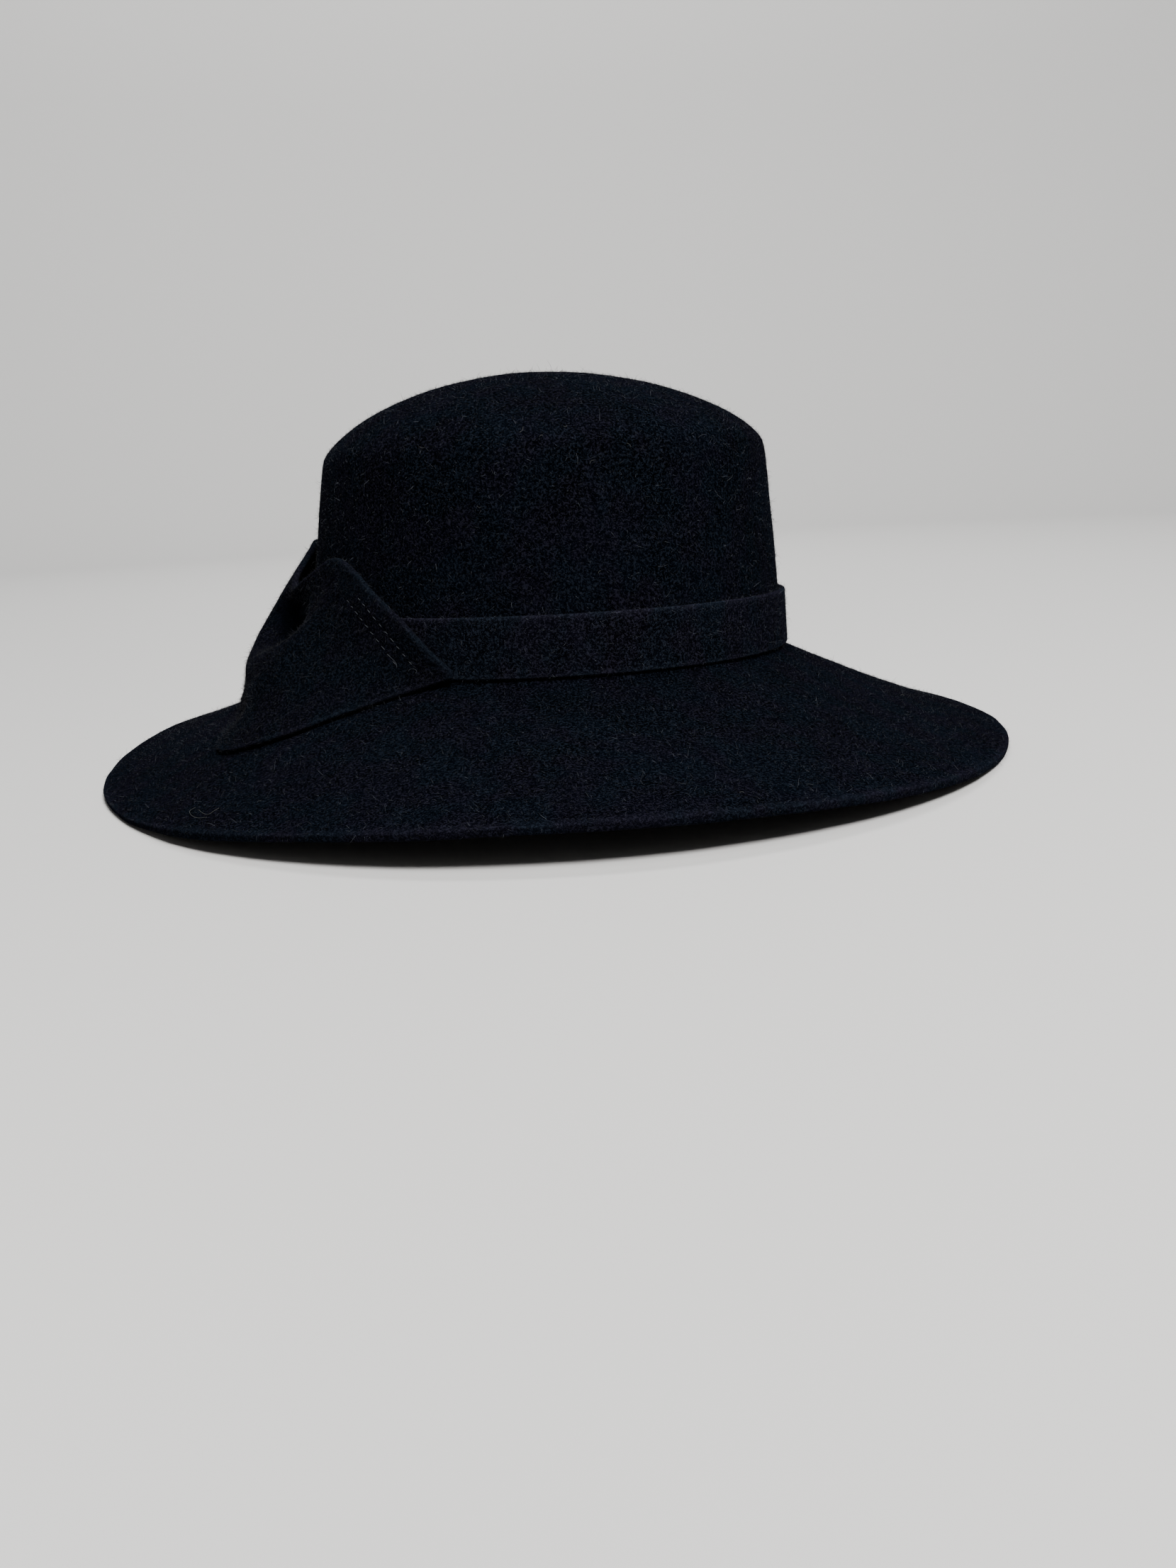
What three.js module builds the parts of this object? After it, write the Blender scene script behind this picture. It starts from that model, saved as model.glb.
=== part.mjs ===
// A wide-brimmed felt hat with a felt band and a folded felt bow, at its real size in millimetres.
// +Z is up, the rim rests on z = 0, the hat's front faces -Y and the bow is on its -X side.
// Azimuths are degrees round the crown: 0 is the front, 90 is +X and -90 is -X.
import * as THREE from "three";

// Felt and clearances
const CROWN_FELT = 2.5;
const BRIM_FELT = 3;
const BOW_FELT = 2.5;
const GAP = 0.4;

// The crown: radii are from side to side, and OVAL lengthens them from front to back
const OVAL = 1.04;
const BASE_RADIUS = 92.4;
const BASE_HEIGHT = 37.2;
const TAPER_HEIGHT = 58.3;
const SHOULDER_RADIUS = 86.1;
const SHOULDER_HEIGHT = 113.3;
const DOME_RISE = 30.8;
const DOME_ROUNDNESS = 1.05;
const DOME_FLATNESS = 1.35;
const CROWN_LEAN = 0.036;
const DOME_SLUMP = 3.5;

// The brim: its slope, and how its reach and edge height change round the rim
const JOIN_RADIUS = 93;
const JOIN_HEIGHT = 36.5;
const BRIM_HOLLOW = 2.2;
const RIM_RADIUS = 182.1;
const RIM_REACH = { cos2: 3.2, sin2: 1.6, cos3: 2.7, sin3: -0.7 };
const RIM_WAVE = { cos2: 2.8, sin2: 1.9, cos3: 2.5, sin3: -0.5 };

// On a table the hat tips under a degree onto its three low places, which press flat
const SETTLE_SLOPE_X = 0.0073;
const SETTLE_SLOPE_Y = 0.0132;
const SETTLE_LIFT = 2.6;
const PRESSED_WIDTH = 4;
const PRESS_FADE = 16;
const ROUNDING = 0.01;

// The band
const BAND_BOTTOM = 37.5;
const BAND_TOP = 58.4;
const BAND_RADIUS = 95.5;
const BAND_TAPER = 0.7;
const BAND_CHAMFER = 0.6;

// Above the band the bow's felt slants in to the crown
const SLANT_START = 1;
const SLANT_HEIGHT = 6;

// The bow, one row for each section along it, from the front point to the rear point. Each fold's
// pair holds its distance from the hat's axis and its height, but the hem's second number is its gap
// to the brim.
const BOW_COLUMNS = ["azimuth", "hem", "skirt", "belly", "crest", "dent", "top"];
const BOW_ROWS = [
  [-19.5, [102, 4.6], [102, 39.2], [102, 39.6], [102, 40], [102, 40.3], [102, 40.7]],
  [-24, [103, 3], [102.6, 39.2], [102.4, 41.6], [102.2, 44], [102.1, 46.1], [102, 48]],
  [-30, [108, 2.4], [105, 37.5], [103, 43], [102.2, 48.5], [102, 53.7], [101.6, 58.2]],
  [-38, [118.5, 2.4], [111, 35.5], [104.8, 46], [101.8, 55.5], [100.8, 62.3], [98.6, 67.8]],
  [-45, [129, 2.2], [119.5, 31], [110, 44], [102.2, 57], [98.5, 67.5], [96.4, 75]],
  [-51, [135.8, 1.9], [123.4, 29.5], [113.4, 42.5], [104, 57], [98.8, 69], [95, 78.6]],
  [-55.5, [139.2, 1.5], [127, 27], [120.5, 38.5], [111.8, 50.5], [101.2, 61], [95.6, 77.6]],
  [-60, [139, 1.2], [127.6, 25.5], [123.2, 36], [115.6, 46.2], [101.8, 57], [96.6, 74.6]],
  [-66, [134, 1.2], [124.8, 24], [122.2, 34], [117.6, 44], [99.8, 53], [98.8, 70.6]],
  [-72, [128.6, 1.2], [122.6, 23.6], [121, 33.4], [117.4, 43], [99.2, 51.5], [100, 67.4]],
  [-78, [125.4, 1.2], [121.8, 24.4], [119.9, 35], [116.4, 44.8], [102, 54], [100.2, 67.6]],
  [-84, [124.5, 1.2], [122.3, 26], [119.2, 38.8], [113.8, 50.4], [106.2, 61], [98.6, 73]],
  [-91, [126.5, 1.4], [123.5, 29], [119, 42.5], [110.4, 54.5], [103.6, 67], [93.9, 81]],
  [-97, [130, 1.8], [124.6, 31], [115.4, 46], [105.6, 60], [99.2, 72], [93.4, 84.5]],
  [-104, [130, 2.2], [119.5, 34.5], [109, 49], [101.5, 62.5], [96.8, 73], [93.6, 81.5]],
  [-112, [122.5, 2.4], [113.5, 38], [105.5, 50], [101.2, 59.5], [99.2, 66], [96.8, 71]],
  [-120, [111.5, 2.4], [106.5, 40], [102.8, 47], [101.6, 53.5], [101.4, 58.5], [100.5, 63]],
  [-126.5, [105, 3], [103, 41.5], [101.8, 45], [101.5, 48], [101.3, 50.5], [101.2, 52.5]],
  [-131, [101.6, 4.6], [101.5, 41.5], [101.4, 42.4], [101.4, 43.3], [101.3, 44.2], [101.3, 45]],
];
const BOW_FOLDS = BOW_COLUMNS.slice(1);
const BOW_SECTIONS = BOW_ROWS.map((row) => (
  Object.fromEntries(BOW_COLUMNS.map((name, index) => [name, row[index]]))));

// How finely the pieces are divided
const ROUND_STEPS = 60;
const BOW_STEPS_PER_SECTION = 3;
const BOW_STEPS_PER_FOLD = 3;

const FELT_COLOUR = 0x14161b;
const FELT_ROUGHNESS = 0.95;

const rad = THREE.MathUtils.degToRad;
const lerp = THREE.MathUtils.lerp;
const clamp = THREE.MathUtils.clamp;

// A sum of two and three waves round the rim
function wave(amounts, azimuth) {
  const angle = rad(azimuth);
  const two = amounts.cos2 * Math.cos(2 * angle) + amounts.sin2 * Math.sin(2 * angle);
  const three = amounts.cos3 * Math.cos(3 * angle) + amounts.sin3 * Math.sin(3 * angle);
  return two + three;
}

const rimReach = (azimuth) => RIM_RADIUS + wave(RIM_REACH, azimuth);
const rimTopHeight = (azimuth) => BRIM_FELT + wave(RIM_WAVE, azimuth);

// A point of the crown's oval
function ovalPoint(radius, azimuth, height) {
  const angle = rad(azimuth);
  return new THREE.Vector3(radius * Math.sin(angle), -radius * OVAL * Math.cos(angle), height);
}

// The crown's outside, from its foot to its shoulder, and then over the dome by an angle of 0 to 90
function sidePoint(azimuth, height, inset) {
  const taper = clamp((height - TAPER_HEIGHT) / (SHOULDER_HEIGHT - TAPER_HEIGHT), 0, 1);
  const radius = lerp(BASE_RADIUS, SHOULDER_RADIUS, taper) - inset;
  return leaning(ovalPoint(radius, azimuth, height));
}

function domePoint(azimuth, angle, inset) {
  const radius = (SHOULDER_RADIUS - inset) * Math.cos(rad(angle)) ** DOME_ROUNDNESS;
  const rise = (DOME_RISE - inset) * Math.sin(rad(angle)) ** DOME_FLATNESS;
  return leaning(ovalPoint(radius, azimuth, SHOULDER_HEIGHT + rise));
}

function leaning(point) {
  const slump = DOME_SLUMP * (Math.max(0, point.z - SHOULDER_HEIGHT) / DOME_RISE) ** 2;
  point.x += CROWN_LEAN * Math.max(0, point.z - TAPER_HEIGHT) - slump;
  return point;
}

// The brim's upper face: across runs from 0 where it leaves the crown to 1 at the rim
function brimPoint(azimuth, across) {
  const join = ovalPoint(JOIN_RADIUS, azimuth, JOIN_HEIGHT);
  const reach = rimReach(azimuth);
  const angle = rad(azimuth);
  const rim = new THREE.Vector3(reach * Math.sin(angle), -reach * Math.cos(angle), rimTopHeight(azimuth));
  const point = join.lerp(rim, across);
  point.z -= BRIM_HOLLOW * 4 * across * (1 - across);
  return point;
}

function brimUnderPoint(azimuth, across) {
  const step = 0.01;
  const turn = 1;
  const here = brimPoint(azimuth, across);
  const along = brimPoint(azimuth, across + step).sub(brimPoint(azimuth, across - step));
  const round = brimPoint(azimuth + turn, across).sub(brimPoint(azimuth - turn, across));
  const down = along.cross(round).normalize();
  return here.addScaledVector(down, down.z < 0 ? BRIM_FELT : -BRIM_FELT);
}

// How high the brim's upper face is at a place outside the crown
function brimHeight(azimuth, distance) {
  const x = distance * Math.sin(rad(azimuth));
  const y = (distance * Math.cos(rad(azimuth))) / OVAL;
  const across = (Math.hypot(x, y) - JOIN_RADIUS) / (rimReach(azimuth) - JOIN_RADIUS);
  return brimPoint(azimuth, clamp(across, 0, 1)).z;
}

// The hat's blocked shape, tipped onto its three low places
function settled(point) {
  const { x, y, z } = point;
  return new THREE.Vector3(
    x + SETTLE_SLOPE_X * z,
    y + SETTLE_SLOPE_Y * z,
    z - SETTLE_SLOPE_X * x - SETTLE_SLOPE_Y * y + SETTLE_LIFT,
  );
}

// The felt near the rim, raised by as much as the floor presses its edge, and flat under the edge
function restingBrimPoint(azimuth, across, isUnder) {
  const edge = settled(brimUnderPoint(azimuth, 1));
  const pressed = Math.max(0, -edge.z);
  const inward = (1 - across) * (rimReach(azimuth) - JOIN_RADIUS);
  const point = settled(isUnder ? brimUnderPoint(azimuth, across) : brimPoint(azimuth, across));
  point.z += pressed * Math.max(0, 1 - inward / PRESS_FADE);
  if (isUnder && pressed > 0 && inward <= PRESSED_WIDTH + ROUNDING) {
    point.z = 0;
  }
  return point;
}

// A closed mesh from rings of points that run from one pole to another
function loft(firstPole, rings, lastPole) {
  const points = [firstPole, ...rings.flat(), lastPole];
  const count = rings[0].length;
  const last = points.length - 1;
  const faces = [];
  for (let side = 0; side < count; side += 1) {
    const next = (side + 1) % count;
    faces.push([0, 1 + side, 1 + next]);
    for (let ring = 0; ring < rings.length - 1; ring += 1) {
      const upper = 1 + ring * count;
      const lower = upper + count;
      faces.push([upper + side, lower + side, lower + next]);
      faces.push([upper + side, lower + next, upper + next]);
    }
    const end = 1 + (rings.length - 1) * count;
    faces.push([end + side, last, end + next]);
  }
  return geometryOf(points, faces);
}

function geometryOf(points, faces) {
  const geometry = new THREE.BufferGeometry();
  const positions = points.flatMap((point) => point.toArray());
  geometry.setAttribute("position", new THREE.Float32BufferAttribute(positions, 3));
  geometry.setIndex(faces.flat());
  geometry.computeVertexNormals();
  return geometry;
}

function ringOf(pointAt) {
  const ring = [];
  for (let step = 0; step < ROUND_STEPS; step += 1) {
    ring.push(pointAt((360 * step) / ROUND_STEPS));
  }
  return ring;
}

// The hat itself, crown and brim, is one piece of blocked felt
function feltBody() {
  const domeAngles = [78, 66, 54, 43, 33, 24, 15, 7];
  const sideHeights = [SHOULDER_HEIGHT, 95, 76, TAPER_HEIGHT, BASE_HEIGHT];
  const brimSteps = [0.03, 0.14, 0.28, 0.42, 0.56, 0.7, 0.83, 0.93];
  const pressedStep = (azimuth) => 1 - PRESSED_WIDTH / (rimReach(azimuth) - JOIN_RADIUS);
  const outside = [
    ...domeAngles.map((angle) => ringOf((azimuth) => settled(domePoint(azimuth, angle, 0)))),
    ...sideHeights.map((height) => ringOf((azimuth) => settled(sidePoint(azimuth, height, 0)))),
    ...brimSteps.map((across) => ringOf((azimuth) => restingBrimPoint(azimuth, across, false))),
    ringOf((azimuth) => restingBrimPoint(azimuth, 1, false)),
  ];
  const inside = [
    ringOf((azimuth) => restingBrimPoint(azimuth, 1, true)),
    ringOf((azimuth) => restingBrimPoint(azimuth, pressedStep(azimuth), true)),
    ...brimSteps.slice(0, -1).reverse().map((across) => (
      ringOf((azimuth) => restingBrimPoint(azimuth, across, true)))),
    ...sideHeights.slice().reverse().map((height) => (
      ringOf((azimuth) => settled(sidePoint(azimuth, height, CROWN_FELT))))),
    ...domeAngles.slice().reverse().map((angle) => (
      ringOf((azimuth) => settled(domePoint(azimuth, angle, CROWN_FELT))))),
  ];
  const top = settled(domePoint(0, 90, 0));
  const ceiling = settled(domePoint(0, 90, CROWN_FELT));
  return loft(top, [...outside, ...inside], ceiling);
}

// A closed hoop of flat felt round the foot of the crown
function hatBand() {
  const inner = BASE_RADIUS + GAP;
  const upper = BAND_RADIUS - BAND_TAPER;
  const section = [
    { radius: inner, height: BAND_BOTTOM },
    { radius: inner, height: BAND_TOP },
    { radius: upper - BAND_CHAMFER, height: BAND_TOP },
    { radius: upper, height: BAND_TOP - BAND_CHAMFER },
    { radius: BAND_RADIUS, height: BAND_BOTTOM + BAND_CHAMFER },
    { radius: BAND_RADIUS - BAND_CHAMFER, height: BAND_BOTTOM },
  ];
  const rings = section.map(({ radius, height }) => (
    ringOf((azimuth) => settled(ovalPoint(radius, azimuth, height)))));
  const points = rings.flat();
  const faces = [];
  for (let row = 0; row < rings.length; row += 1) {
    const here = row * ROUND_STEPS;
    const there = ((row + 1) % rings.length) * ROUND_STEPS;
    for (let side = 0; side < ROUND_STEPS; side += 1) {
      const next = (side + 1) % ROUND_STEPS;
      faces.push([here + side, there + side, there + next]);
      faces.push([here + side, there + next, here + next]);
    }
  }
  return geometryOf(points, faces);
}

// A smooth curve through numbers that stand one step apart
function smooth(values, place) {
  const index = clamp(Math.floor(place), 0, values.length - 2);
  const t = place - index;
  const before = values[Math.max(index - 1, 0)];
  const start = values[index];
  const end = values[index + 1];
  const after = values[Math.min(index + 2, values.length - 1)];
  const slopeIn = (end - before) / 2;
  const slopeOut = (after - start) / 2;
  return (
    start * (2 * t ** 3 - 3 * t ** 2 + 1) +
    slopeIn * (t ** 3 - 2 * t ** 2 + t) +
    end * (3 * t ** 2 - 2 * t ** 3) +
    slopeOut * (t ** 3 - t ** 2)
  );
}

// The outermost surface of the crown and band at a height, which the bow's felt lies on
function hatDistance(azimuth, height) {
  const aboveBand = clamp((height - BAND_TOP - SLANT_START) / SLANT_HEIGHT, 0, 1);
  const taper = clamp((height - TAPER_HEIGHT) / (SHOULDER_HEIGHT - TAPER_HEIGHT), 0, 1);
  const radius = lerp(BAND_RADIUS, lerp(BASE_RADIUS, SHOULDER_RADIUS, taper), aboveBand);
  return radius / Math.hypot(Math.sin(rad(azimuth)), Math.cos(rad(azimuth)) / OVAL);
}

// A place on the bow's outer face: along counts sections, up counts folds
function bowPoint(along, up) {
  const azimuth = smooth(BOW_SECTIONS.map((row) => row.azimuth), along);
  const distances = BOW_FOLDS.map((fold) => smooth(BOW_SECTIONS.map((row) => row[fold][0]), along));
  const heights = BOW_FOLDS.map((fold) => smooth(BOW_SECTIONS.map((row) => row[fold][1]), along));
  heights[0] += brimHeight(azimuth, distances[0]);
  const height = smooth(heights, up);
  const distance = Math.max(smooth(distances, up), hatDistance(azimuth, height) + GAP + BOW_FELT);
  return placed(azimuth, distance, height);
}

function placed(azimuth, distance, height) {
  const angle = rad(azimuth);
  return new THREE.Vector3(distance * Math.sin(angle), -distance * Math.cos(angle), height);
}

// The bow's inner face, one felt's thickness behind, clear of the crown, the band and the brim
function bowInnerPoint(along, up) {
  const step = 0.25;
  const sections = BOW_SECTIONS.length - 1;
  const folds = BOW_FOLDS.length - 1;
  const forward = bowPoint(Math.min(along + step, sections), up);
  const back = bowPoint(Math.max(along - step, 0), up);
  const higher = bowPoint(along, Math.min(up + step, folds));
  const lower = bowPoint(along, Math.max(up - step, 0));
  const outward = higher.sub(lower).cross(forward.sub(back)).normalize();
  const point = bowPoint(along, up).addScaledVector(outward, -BOW_FELT);
  const azimuth = THREE.MathUtils.radToDeg(Math.atan2(point.x, -point.y));
  const distance = Math.max(Math.hypot(point.x, point.y), hatDistance(azimuth, point.z) + GAP);
  const height = Math.max(point.z, brimHeight(azimuth, distance) + 2 * GAP);
  return placed(azimuth, distance, height);
}

// One wide strip of felt, folded and pinched at its middle, with a point at each end
function bow() {
  const columns = (BOW_SECTIONS.length - 1) * BOW_STEPS_PER_SECTION + 1;
  const rows = (BOW_FOLDS.length - 1) * BOW_STEPS_PER_FOLD + 1;
  const points = [];
  for (const pointAt of [bowPoint, bowInnerPoint]) {
    for (let column = 0; column < columns; column += 1) {
      for (let row = 0; row < rows; row += 1) {
        const along = column / BOW_STEPS_PER_SECTION;
        const up = row / BOW_STEPS_PER_FOLD;
        points.push(settled(pointAt(along, up)));
      }
    }
  }
  const outer = (column, row) => column * rows + row;
  const inner = (column, row) => (columns + column) * rows + row;
  const faces = [];
  const quad = (a, b, c, d) => faces.push([a, b, c], [a, c, d]);
  for (let column = 0; column < columns - 1; column += 1) {
    for (let row = 0; row < rows - 1; row += 1) {
      const corners = [[column, row], [column, row + 1], [column + 1, row + 1], [column + 1, row]];
      quad(...corners.map(([along, up]) => outer(along, up)));
      quad(...corners.reverse().map(([along, up]) => inner(along, up)));
    }
    const top = rows - 1;
    quad(outer(column, 0), outer(column + 1, 0), inner(column + 1, 0), inner(column, 0));
    quad(outer(column + 1, top), outer(column, top), inner(column, top), inner(column + 1, top));
  }
  for (let row = 0; row < rows - 1; row += 1) {
    const end = columns - 1;
    quad(outer(0, row + 1), outer(0, row), inner(0, row), inner(0, row + 1));
    quad(outer(end, row), outer(end, row + 1), inner(end, row + 1), inner(end, row));
  }
  return geometryOf(points, faces);
}

function felt() {
  return new THREE.MeshStandardMaterial({ color: FELT_COLOUR, roughness: FELT_ROUGHNESS, metalness: 0 });
}

function piece(name, geometry) {
  const mesh = new THREE.Mesh(geometry, felt());
  mesh.name = name;
  return mesh;
}

const hat = new THREE.Group();
hat.add(piece("felt_body", feltBody()));
hat.add(piece("hat_band", hatBand()));
hat.add(piece("bow", bow()));

// The origin is on the floor, under the middle of the hat's outline
const middle = new THREE.Box3().setFromObject(hat).getCenter(new THREE.Vector3());
for (const mesh of hat.children) {
  mesh.geometry.translate(-middle.x, -middle.y, 0);
}

export default hat;
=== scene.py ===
"""A wide-brimmed wool felt hat with a felt band and a folded felt bow, in its finished cloth.

Lengths are in millimetres until a mesh is finished, and the shapes are worked out as the hat was
blocked, round its upright crown. tipped() then leans it onto the places where its rim rests.
Azimuths are degrees round the crown: 0 is the front, 90 is +X and -90 is -X.
"""
import math

import bmesh
import bpy
import numpy as np
from mathutils import Matrix, Vector, noise
from mathutils.bvhtree import BVHTree
from mathutils.kdtree import KDTree


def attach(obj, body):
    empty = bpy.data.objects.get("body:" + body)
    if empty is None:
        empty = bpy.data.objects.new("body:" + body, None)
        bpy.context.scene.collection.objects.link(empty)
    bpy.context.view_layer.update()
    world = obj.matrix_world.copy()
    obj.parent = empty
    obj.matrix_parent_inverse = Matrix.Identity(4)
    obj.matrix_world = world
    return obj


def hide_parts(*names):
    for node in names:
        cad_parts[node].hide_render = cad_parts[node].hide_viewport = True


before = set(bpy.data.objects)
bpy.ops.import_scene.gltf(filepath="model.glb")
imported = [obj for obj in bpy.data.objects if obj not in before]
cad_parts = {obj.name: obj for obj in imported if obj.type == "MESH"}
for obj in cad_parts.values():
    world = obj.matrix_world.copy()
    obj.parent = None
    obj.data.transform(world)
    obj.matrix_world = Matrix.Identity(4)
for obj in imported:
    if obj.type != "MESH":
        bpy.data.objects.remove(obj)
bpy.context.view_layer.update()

MM = 0.001
PHOTO_WIDTH = 1659
PHOTO_HEIGHT = 2212

# Felt and clearances
CROWN_FELT = 2.5
BRIM_FELT = 3.0
BOW_FELT = 2.5
GAP = 0.4
# How far from a cut edge the felt is painted paler: partly frayed fibres, partly a painted highlight
# along the lips
FRAY_AND_HIGHLIGHT_WIDTH = 1.8

# Where the felt in the bow's hollow between the wings is painted darker as shade and left without nap:
# past this azimuth, nearer than this to the axis and lower than this, and how soft the start of each is
HOLLOW_START = -61
HOLLOW_RADIUS = 109
HOLLOW_TOP = 69
HOLLOW_FADE = 6

# The crown: radii are from side to side, and OVAL lengthens them from front to back
OVAL = 1.04
BASE_RADIUS = 92.4
TAPER_HEIGHT = 58.3
SHOULDER_RADIUS = 86.1
SHOULDER_HEIGHT = 113.3
DOME_RISE = 30.8
DOME_ROUNDNESS = 1.05
DOME_FLATNESS = 1.35
CROWN_LEAN = 0.036
DOME_SLUMP = 3.5
SIDE_FOOT = 37.5

# The brim, and the waves round its rim as (function, waves in a turn, size)
JOIN_RADIUS = 93.0
JOIN_HEIGHT = 36.5
BRIM_HOLLOW = 2.2
RIM_RADIUS = 182.1
RIM_LIP = 0.8
OUTER_END = 0.985
INNER_START = 0.02
RIM_REACH = ((math.cos, 2, 3.2), (math.sin, 2, 1.6), (math.cos, 3, 2.7), (math.sin, 3, -0.7))
RIM_WAVE = ((math.cos, 2, 2.8), (math.sin, 2, 1.9), (math.cos, 3, 2.5), (math.sin, 3, -0.5))

# How the section's bends are rounded off: how often, from what height and to what height
SHOULDER_EASE = (10, SHOULDER_HEIGHT - 9, SHOULDER_HEIGHT + 12)
JOIN_EASE = (6, 20, JOIN_HEIGHT + 8)

# How the hat tips onto its rim's low places, which press flat
SETTLE_SLOPE_X = 0.0073
SETTLE_SLOPE_Y = 0.0132
SETTLE_LIFT = 2.6
PRESS_FADE = 16.0

# The band
BAND_BOTTOM = 37.5
BAND_TOP = 58.4
BAND_RADIUS = 95.5
BAND_TAPER = 0.7
BAND_LIP = 0.6
SLANT_START = 1.0
SLANT_HEIGHT = 6.0

# The bow, one row for each section along it: its azimuth, and each fold's distance from the axis
# and height, but the hem's second number is its gap to the brim
BOW_FOLDS = ("hem", "skirt", "belly", "crest", "dent", "top")
BOW_SECTIONS = (
    (-19.5, (102, 4.6), (102, 39.2), (102, 39.6), (102, 40), (102, 40.3), (102, 40.7)),
    (-24, (103, 3), (102.6, 39.2), (102.4, 41.6), (102.2, 44), (102.1, 46.1), (102, 48)),
    (-30, (108, 2.4), (105, 37.5), (103, 43), (102.2, 48.5), (102, 53.7), (101.6, 58.2)),
    (-38, (118.5, 2.4), (111, 35.5), (104.8, 46), (101.8, 55.5), (100.8, 62.3), (98.6, 67.8)),
    (-45, (129, 2.2), (119.5, 31), (110, 44), (102.2, 57), (98.5, 67.5), (96.4, 75)),
    (-51, (135.8, 1.9), (123.4, 29.5), (113.4, 42.5), (104, 57), (98.8, 69), (95, 78.6)),
    (-55.5, (139.2, 1.5), (127, 27), (120.5, 38.5), (111.8, 50.5), (101.2, 61), (95.6, 77.6)),
    (-60, (139, 1.2), (127.6, 25.5), (123.2, 36), (115.6, 46.2), (101.8, 57), (96.6, 74.6)),
    (-66, (134, 1.2), (124.8, 24), (122.2, 34), (117.6, 44), (99.8, 53), (98.8, 70.6)),
    (-72, (128.6, 1.2), (122.6, 23.6), (121, 33.4), (117.4, 43), (99.2, 51.5), (100, 67.4)),
    (-78, (125.4, 1.2), (121.8, 24.4), (119.9, 35), (116.4, 44.8), (102, 54), (100.2, 67.6)),
    (-84, (124.5, 1.2), (122.3, 26), (119.2, 38.8), (113.8, 50.4), (106.2, 61), (98.6, 73)),
    (-91, (126.5, 1.4), (123.5, 29), (119, 42.5), (110.4, 54.5), (103.6, 67), (93.9, 81)),
    (-97, (130, 1.8), (124.6, 31), (115.4, 46), (105.6, 60), (99.2, 72), (93.4, 84.5)),
    (-104, (130, 2.2), (119.5, 34.5), (109, 49), (101.5, 62.5), (96.8, 73), (93.6, 81.5)),
    (-112, (122.5, 2.4), (113.5, 38), (105.5, 50), (101.2, 59.5), (99.2, 66), (96.8, 71)),
    (-120, (111.5, 2.4), (106.5, 40), (102.8, 47), (101.6, 53.5), (101.4, 58.5), (100.5, 63)),
    (-126.5, (105, 3), (103, 41.5), (101.8, 45), (101.5, 48), (101.3, 50.5), (101.2, 52.5)),
    (-131, (101.6, 4.6), (101.5, 41.5), (101.4, 42.4), (101.4, 43.3), (101.3, 44.2), (101.3, 45)),
)
BOW_MIDDLE = (5, 2)
BOW_LIP = 0.7
BOW_LIP_CUTS = 4

# The two rows of stitches beside the bow's slanting edge, and the loose ends of their thread, by
# pixels of the photograph
STITCH_ROWS = (((489, 846), (559, 939)), ((505, 843), (580, 937)))
THREAD_ENDS = (
    ((546, 923), (554, 930), (559, 936), (560, 942)),
    ((576, 947), (579, 944), (585, 944), (588, 947), (586, 950)),
)
STITCH_PITCH = 3.5
STITCH_LENGTH = 2.2
STITCH_SLANT = 0.12
STITCH_SWAY = 0.06
STITCH_SHARES = (0.75, 1.1)
STITCH_SIDES = 8
THREAD_RADIUS = 0.15
THREAD_END_RADIUS = 0.08
STITCH_DIMPLE = 0.25
DIMPLE_WIDTH = 1.3
STITCH_SEED = 11

# The felt's soft unevenness, as (size across, height) for each scale
BODY_LUMPS = ((60, 0.5), (18, 0.22), (5, 0.06))
BAND_LUMPS = ((25, 0.15), (5, 0.05))
BOW_LUMPS = ((22, 0.45), (7, 0.12))

# How finely the felt is divided
ROUND_STEPS = 300
DOME_STEPS = 40
SIDE_STEPS = 24
BRIM_STEPS = 44
LIP_STEPS = 4
BAND_STEPS = 12
BOW_STEPS_PER_SECTION = 14
BOW_STEPS_PER_FOLD = 14
ROW_STEPS = 80
TINY = 1e-4

# The way along which points and faces are sorted, so that hardly any two are level
SORTING = Vector((1, 0.3719, 0.1173))

# The camera: where it is, the way it looks, the way up in its picture, and its focal length in pixels
CAMERA_PLACE = (0.12, -542.836, 103.678)
CAMERA_LOOK = (0.02199, 0.97607, -0.21676)
CAMERA_UP = (0.05873, 0.21517, 0.97492)
FOCAL_PIXELS = 1900
SENSOR = 36

# The nap. Its short straight fibres and its loose bent ones each have a length, the range of degrees
# that they stand up by, and how much they bend
SHORT_NAP = (1.1, (8, 50), 0)
LOOSE_NAP = (2.0, (5, 65), 0.6)
NAP_RADIUS = 0.05
PALE_RARITY = 4
ROOT_DEPTH = 0.1
LENGTH_EVENNESS = 5
KNEE_DROOP = 0.4
KNEE_TAPER = 0.75
SPOKES = (0, 2.1, 4.2)

# Where the nap grows: how clear of the band and the table, and how far the felt may face down or in
BAND_MARGIN = 1
TABLE_MARGIN = 1.5
FACING_DOWN = -0.35
FACING_IN = -0.2
FACING_UP = 0.3
CROWN_MIDDLE = np.array((0, 0, 70))

# Lint on the felt: the pixels of the photograph that each hair runs through
LINT = (
    ((276, 1139), (268, 1144), (270, 1150), (279, 1154), (292, 1153)),
    ((281, 1143), (286, 1147), (294, 1149), (302, 1144), (309, 1140)),
    ((733, 610), (737, 607), (738, 602)),
    ((795, 601), (798, 602), (800, 600)),
    ((884, 625), (888, 627), (890, 631)),
    ((832, 654), (834, 650), (839, 649)),
    ((673, 714), (676, 716), (679, 715)),
    ((844, 809), (845, 806), (848, 805)),
    ((592, 630), (595, 632), (599, 631)),
    ((761, 616), (763, 614), (766, 614)),
    ((1043, 1118), (1046, 1117), (1050, 1118)),
    ((1270, 981), (1273, 980), (1276, 981)),
)
LINT_RADIUS = 0.05
TRAIL_STEPS = 5
TUBE_SIDES = 5

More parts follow.
